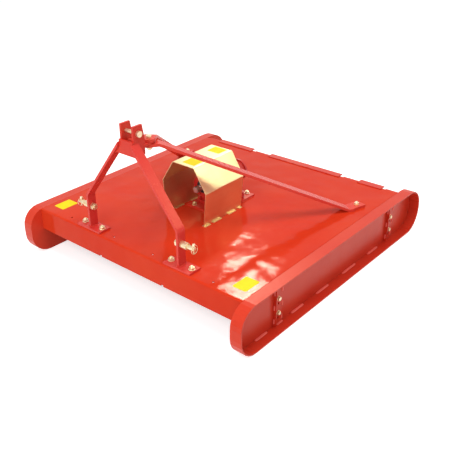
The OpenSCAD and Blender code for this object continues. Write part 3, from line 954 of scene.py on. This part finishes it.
@dataclass
class Mast:
    """Mast with its feet, top link plates and hitch pins."""

    palette: Palette
    bolt: Fastener = Fastener(0.016, thread=0.005)
    bolt_off: float = 0.065
    leg_half: float = 0.006
    leg_depth: float = 0.025
    side_bead: float = 0.0045
    end_bead: float = 0.004
    pin_in: float = 0.008
    shank: tuple[Point, ...] = (
        (0, -0.024, 0), (0.0025, -0.024, 0), (0.004, -0.020, 0), (0.004, 0.013, 0),
        (0.0075, 0.014, 0), (0.0075, 0.024, 0), (0.006, 0.026, 0), (0, 0.026, 0))
    ring_half: Pair = (0.020, 0.021)
    ring_out: float = 0.004
    ring_drop: float = 0.002
    ring_gap: float = 0.12
    ring_wire: float = 0.0017

    def dress(self) -> None:
        """Paints the mast and plates its pins."""
        # The legs and feet take the lighter red, whose extra lightness is painted sheen.
        dress(self.palette.bar_paint_and_sheen, "mast_foot_left", "mast_foot_right", "mast_leg_left",
              "mast_leg_right")
        dress(self.palette.paint, "mast_web", "top_link_ear_left", "top_link_ear_right")
        dress(self.palette.zinc, "top_link_pin", "hitch_pin_left", "hitch_pin_right")

    def build(self) -> None:
        """Adds the foot bolts, the weld beads and the linch pins."""
        self.bolts()
        self.welds()
        self.linch_pins()

    def feet(self) -> list[Point]:
        """The middle of the top of each foot."""
        boxes = [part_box(name) for name in ("mast_foot_left", "mast_foot_right")]
        return [((low.x + high.x) / 2, (low.y + high.y) / 2, high.z) for low, high in boxes]

    def bolts(self) -> None:
        """Puts a nut on each side of each leg."""
        spots = [((x + way * self.bolt_off, y, z), UPWARDS)
                 for x, y, z in self.feet() for way in SIDES]
        bolts = Surface("mast_foot_bolts").grid(placed(self.bolt.shape(), spots))
        bolts.piece(Body.FRAME, Slot.ZINC, self.palette.zinc)

    def welds(self) -> None:
        """Welds each leg to its foot all round."""
        welds = Surface("mast_welds")
        for x, y, z in self.feet():
            left, right = x - self.leg_half, x + self.leg_half
            front, back = y - self.leg_depth, y + self.leg_depth
            for edge, end in ((left, front), (right, back)):
                welds.grid(bead((edge, front, z), (edge, back, z), self.side_bead))
                welds.grid(bead((left, end, z), (right, end, z), self.end_bead))
        welds.piece(Body.FRAME, Slot.RED, self.palette.paint)

    def linch_pins(self) -> None:
        """Adds a linch pin to each hitch pin: a shank with a head, and a spring ring round it.

        At angle a the ring lies at minus its half width times sin(a) in Y and its half height
        times cos(a) in Z, and a leaves a gap at the top.
        """
        pins = Surface("linch_pins")
        a = np.linspace(self.ring_gap, 2 - self.ring_gap, 40) * np.pi
        for side, name in ((LEFT, "hitch_pin_left"), (RIGHT, "hitch_pin_right")):
            low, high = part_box(name)
            x = side * (max(abs(low.x), abs(high.x)) - self.pin_in)
            y, z = (low.y + high.y) / 2, (low.z + high.z) / 2
            pins.grid(placed(turned(self.shank), [((x, y, z), UPWARDS)]))
            ring = np.stack([x + side * self.ring_out + 0 * a,
                             y - self.ring_half[0] * np.sin(a),
                             z - self.ring_drop + self.ring_half[1] * np.cos(a)], -1)
            pins.grid(wire(ring, self.ring_wire, (1, 0, 0), steps=10))
        pins.piece(Body.FRAME, Slot.ZINC, self.palette.zinc)


@dataclass
class Stays:
    """The two stays with their foot bolts."""

    palette: Palette
    bolt: Fastener = Fastener(0.014, thread=0.004)
    foot: Point = (0.613, 0.354, 0.278)

    def dress(self) -> None:
        """Paints the stays and plates their bolt."""
        # The stays take the lighter red, whose extra lightness is painted sheen.
        dress(self.palette.stay_paint_and_sheen, "stay_left", "stay_right", "stay_tongue")
        dress(self.palette.zinc, "stay_bolt")

    def build(self) -> None:
        """Adds the bolts through the foot straps."""
        x, y, z = self.foot
        spots = [((side * x, y, z), UPWARDS) for side in SIDES]
        bolts = Surface("stay_foot_bolts").grid(placed(self.bolt.shape(), spots))
        bolts.piece(Body.FRAME, Slot.ZINC, self.palette.zinc)


@dataclass
class Drive:
    """Gearbox with its bed, cover bolts, seal and shaft, and the guard over them."""

    palette: Palette
    bolt: Fastener = Fastener(0.014, thread=0.004)
    bed_spot: Pair = (0.065, 0.148)
    foot_spot: Pair = (0.077, 0.090)
    foot_step: float = 0.012
    cover_bolt: Fastener = Fastener(0.008)
    cover_ring: float = 0.048
    cover_turn: float = 0.1
    plug: Fastener = Fastener(0.018)
    plug_x: float = 0.070
    bead: float = 0.005
    label_half: Pair = (0.040, 0.035)
    label_spots: tuple[Pair, ...] = ((0.012, -0.283), (0.006, -0.083))

    def dress(self) -> None:
        """Paints the casting and its bed, plates the guard and leaves the shaft bare."""
        dress(self.palette.cast, "gearbox")
        dress(self.palette.paint, "gearbox_bed")
        dress(self.palette.rubber, "input_seal")
        dress(self.palette.steel, "input_shaft")
        dress(self.palette.guard, "guard")

    def build(self) -> None:
        """Adds the bolts of the bed, the foot and both covers, the plugs, welds and labels."""
        self.bed_bolts()
        self.cover_bolts()
        self.plugs()
        self.welds()
        self.labels()

    def middle(self) -> tuple[float, float, float]:
        """Finds what the fasteners are placed by.

        Returns:
            The bed's middle in Y, the height of its top, and the height of the shaft's axis.
        """
        low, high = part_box("gearbox_bed")
        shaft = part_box("input_shaft")
        return (low.y + high.y) / 2, high.z, (shaft[0].z + shaft[1].z) / 2

    def four(self, spot: Pair, step: float = 0.0) -> list[Spot]:
        """Four upright spots at plus and minus spot from the middle, a step above the bed."""
        y, z, _ = self.middle()
        return [((sx * spot[0], y + sy * spot[1], z + step), UPWARDS)
                for sx in SIDES for sy in SIDES]

    def bed_bolts(self) -> None:
        """Bolts the bed to the deck."""
        bolts = Surface("gearbox_bolts").grid(placed(self.bolt.shape(), self.four(self.bed_spot)))
        bolts.piece(Body.FRAME, Slot.ZINC, self.palette.zinc)

    def cover_bolts(self) -> None:
        """Bolts the casting's foot to the bed, and a ring of six round each cover."""
        axis = self.middle()[2]
        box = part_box("gearbox")
        painted = Surface("cover_bolts")
        painted.grid(placed(self.bolt.shape(), self.four(self.foot_spot, self.foot_step)))
        angle = np.arange(6) * math.pi / 3 + self.cover_turn
        ring = self.cover_ring * np.stack([np.cos(angle), np.sin(angle)], -1)
        for face, way in ((box[0].y, -1), (box[1].y, 1)):
            spots = [((x, face, axis + up), (0, way, 0)) for x, up in ring]
            painted.grid(placed(self.cover_bolt.shape(), spots))
        painted.piece(Body.FRAME, Slot.CAST, self.palette.cast)

    def plugs(self) -> None:
        """Adds the filler plug on top and a plug on either side."""
        y, _, axis = self.middle()
        spots = [((0, y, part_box("gearbox")[1].z), UPWARDS),
                 ((self.plug_x, y, axis), (1, 0, 0)), ((-self.plug_x, y, axis), (-1, 0, 0))]
        plugs = Surface("gearbox_plugs").grid(placed(self.plug.shape(), spots))
        plugs.piece(Body.FRAME, Slot.STEEL, self.palette.steel)

    def welds(self) -> None:
        """Welds the bed to the deck all round."""
        low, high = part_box("gearbox_bed")
        y = self.middle()[0]
        welds = Surface("bed_welds")
        for way in SIDES:
            x, cross = way * high.x, y + way * (high.y - y)
            welds.grid(bead((x, low.y, low.z), (x, high.y, low.z), self.bead))
            welds.grid(bead((low.x, cross, low.z), (high.x, cross, low.z), self.bead))
        welds.piece(Body.FRAME, Slot.RED, self.palette.paint)

    def labels(self) -> None:
        """Lays the blank labels on the guard."""
        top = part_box("guard")[1].z
        labels = Surface("guard_labels")
        for x, y in self.label_spots:
            labels.grid(label((x, y, top), self.label_half))
        labels.piece(Body.FRAME, Slot.GUARD, self.palette.label)


@dataclass
class Rotor:
    """Rotor hub, carrier and blades below the deck."""

    palette: Palette
    cotter_up: float = 0.0048
    nut_half: float = 0.0268
    cotter_wire: float = 0.0022
    spread: float = 0.016
    belly: float = 0.004
    eye: float = 0.0055
    eye_out: float = 0.006

    def dress(self) -> None:
        """Leaves the rotor in bare steel."""
        dress(self.palette.steel, "rotor_hub", "blade_carrier", "blade_pins", "blade_left",
              "blade_right")

    def build(self) -> None:
        """Adds the castle nut's cotter pin: a shank, an eye, and two ends bent round the nut.

        Each half runs through the nut while t goes from 0 to a half, and then aside by spread,
        with a belly of half a sine outwards.
        """
        low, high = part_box("rotor_hub")
        x, y, z = (low.x + high.x) / 2, (low.y + high.y) / 2, low.z + self.cotter_up
        reach = self.nut_half + self.cotter_wire
        cotter = Surface("rotor_cotter")
        t = np.linspace(0, 1, 24)
        bend = np.clip(2 * t - 1, 0, 1)
        depth = 2 * reach * np.minimum(2 * t, 1) + self.belly * np.sin(np.pi * bend)
        for side in SIDES:
            path = np.stack([x + side * (self.cotter_wire + self.spread * bend),
                             y - reach + depth, z + 0 * t], -1)
            cotter.grid(wire(path, self.cotter_wire, UPWARDS, steps=12))
        a = np.linspace(0, 2 * np.pi, 32)
        eye = np.stack([x + self.eye * np.sin(a),
                        y - self.nut_half - self.eye_out - self.eye * np.cos(a), z + 0 * a], -1)
        cotter.grid(wire(eye, self.cotter_wire, UPWARDS, steps=12))
        cotter.piece(Body.ROTOR, Slot.STEEL, self.palette.zinc)


# Studio


@dataclass(frozen=True)
class Lamp:
    """A square area lamp, warmed by the blue that it lacks."""

    name: str
    place: Point
    size: float
    power: float
    blue: float = 1.0
    aim: Point = (0, 0, 0.2)

    def build(self) -> None:
        """Adds the lamp and turns it to its aim."""
        lamp = bpy.data.lights.new(self.name, "AREA")
        lamp.size, lamp.energy = self.size, self.power
        lamp.color = (1.0, (1.0 + self.blue) / 2, self.blue)
        made = bpy.data.objects.new(self.name, lamp)
        made.location = self.place
        way = Vector(self.aim) - Vector(self.place)
        made.rotation_euler = way.to_track_quat("-Z", "Y").to_euler()
        bpy.context.scene.collection.objects.link(made)


@dataclass
class Studio:
    """Camera, lamps, world and floor."""

    eye: Point = (2.174, -2.637, 1.903)
    azimuth: float = 42.61
    elevation: float = 28.55
    roll: float = -1.48
    lens: float = 54.24
    sensor: float = 36.0
    shift: Pair = (0.0691, 0.0169)
    world_level: float = 0.5
    floor_pale: Colour = (0.84, 0.84, 0.84)
    floor_grey: Colour = (0.80, 0.80, 0.80)
    floor_glow: float = 0.58
    floor_glow_glossy: float = 0.5
    floor_reach: float = 30.0
    floor_drop: float = 0.0005
    lamps: tuple[Lamp, ...] = (
        Lamp("key", (0.65, -4.5, 3.25), size=3.0, power=136.0),
        Lamp("top", (1.0, -0.4, 4.9), size=2.5, power=110.0),
        Lamp("glint", (-2.5, 3.45, 3.55), size=0.5, power=50.0, blue=0.72),
        Lamp("rim", (3.5, 3.1, 3.15), size=0.9, power=25.0, blue=0.6, aim=(0, 0, 0.5)))

    def build(self) -> None:
        """Builds the whole studio: a key lamp in front, one above, two that gleam behind."""
        self.camera()
        self.world()
        self.floor()
        for lamp in self.lamps:
            lamp.build()
        bpy.context.scene.view_settings.view_transform = "Standard"

    def camera(self) -> None:
        """Sets the camera at the photograph's angle, rolled about its own axis."""
        az, el, roll = (math.radians(v) for v in (self.azimuth, self.elevation, self.roll))
        back = Vector((math.sin(az) * math.cos(el), -math.cos(az) * math.cos(el), math.sin(el)))
        right = (-back).cross(Vector((0, 0, 1))).normalized()
        up = right.cross(-back)
        right, up = (math.cos(roll) * right + math.sin(roll) * up,
                     math.cos(roll) * up - math.sin(roll) * right)
        lens = bpy.data.cameras.new("camera")
        lens.lens, lens.sensor_width = self.lens, self.sensor
        lens.shift_x, lens.shift_y = self.shift
        camera = bpy.data.objects.new("camera", lens)
        turn = Matrix((right, up, back)).transposed().to_4x4()
        camera.matrix_world = Matrix.Translation(self.eye) @ turn
        bpy.context.scene.collection.objects.link(camera)
        bpy.context.scene.camera = camera

    def world(self) -> None:
        """White to the camera, in reflections and through glass, softer as a light."""
        world = bpy.data.worlds.new("studio")
        world.use_nodes = True
        bpy.context.scene.world = world
        nodes = Nodes(world.node_tree)
        camera, glossy, through = (nodes.node("ShaderNodeLightPath", {}, {}, f"Is {ray} Ray")
                                   for ray in ("Camera", "Glossy", "Transmission"))
        level = nodes.node("ShaderNodeMapRange", {},
                           {"Value": camera.larger(glossy).larger(through),
                            "To Min": self.world_level, "To Max": 1.0})
        background = world.node_tree.nodes["Background"]
        background.inputs["Color"].default_value = (1, 1, 1, 1)
        world.node_tree.links.new(level.socket, background.inputs["Strength"])

    def floor(self) -> None:
        """A wide pale floor that shows white and keeps the shadow."""
        s = Shader("floor")
        colour = s.blend(s.noise(scale=0.6, detail=2.0), self.floor_pale, self.floor_grey)
        diffuse = s.node("ShaderNodeBsdfDiffuse", {}, {"Color": colour})
        seen = s.node("ShaderNodeLightPath", {}, {}, "Is Camera Ray")
        glossy = s.node("ShaderNodeLightPath", {}, {}, "Is Glossy Ray")
        strength = seen * self.floor_glow + glossy * self.floor_glow_glossy
        glow = s.node("ShaderNodeEmission", {}, {"Color": (1, 1, 1), "Strength": strength})
        mesh = bpy.data.meshes.new("floor")
        r = self.floor_reach
        mesh.from_pydata([(-r, -r, 0), (r, -r, 0), (r, r, 0), (-r, r, 0)], [], [(0, 1, 2, 3)])
        mesh.materials.append(s.end(s.node("ShaderNodeAddShader", {}, {0: diffuse, 1: glow})))
        floor = bpy.data.objects.new("floor", mesh)
        floor.location.z = -self.floor_drop
        bpy.context.scene.collection.objects.link(floor)


def main() -> None:
    """Builds the mower and its studio in order."""
    logging.basicConfig(level=logging.INFO, format="%(name)s: %(message)s")
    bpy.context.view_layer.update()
    palette = Palette()
    for assembly in (Deck(palette), Skids(palette), Mast(palette), Stays(palette), Drive(palette),
                     Rotor(palette)):
        assembly.build()
        assembly.dress()
        log.info("%s: done", type(assembly).__name__)
    Studio().build()


if __name__ == "__main__":
    main()
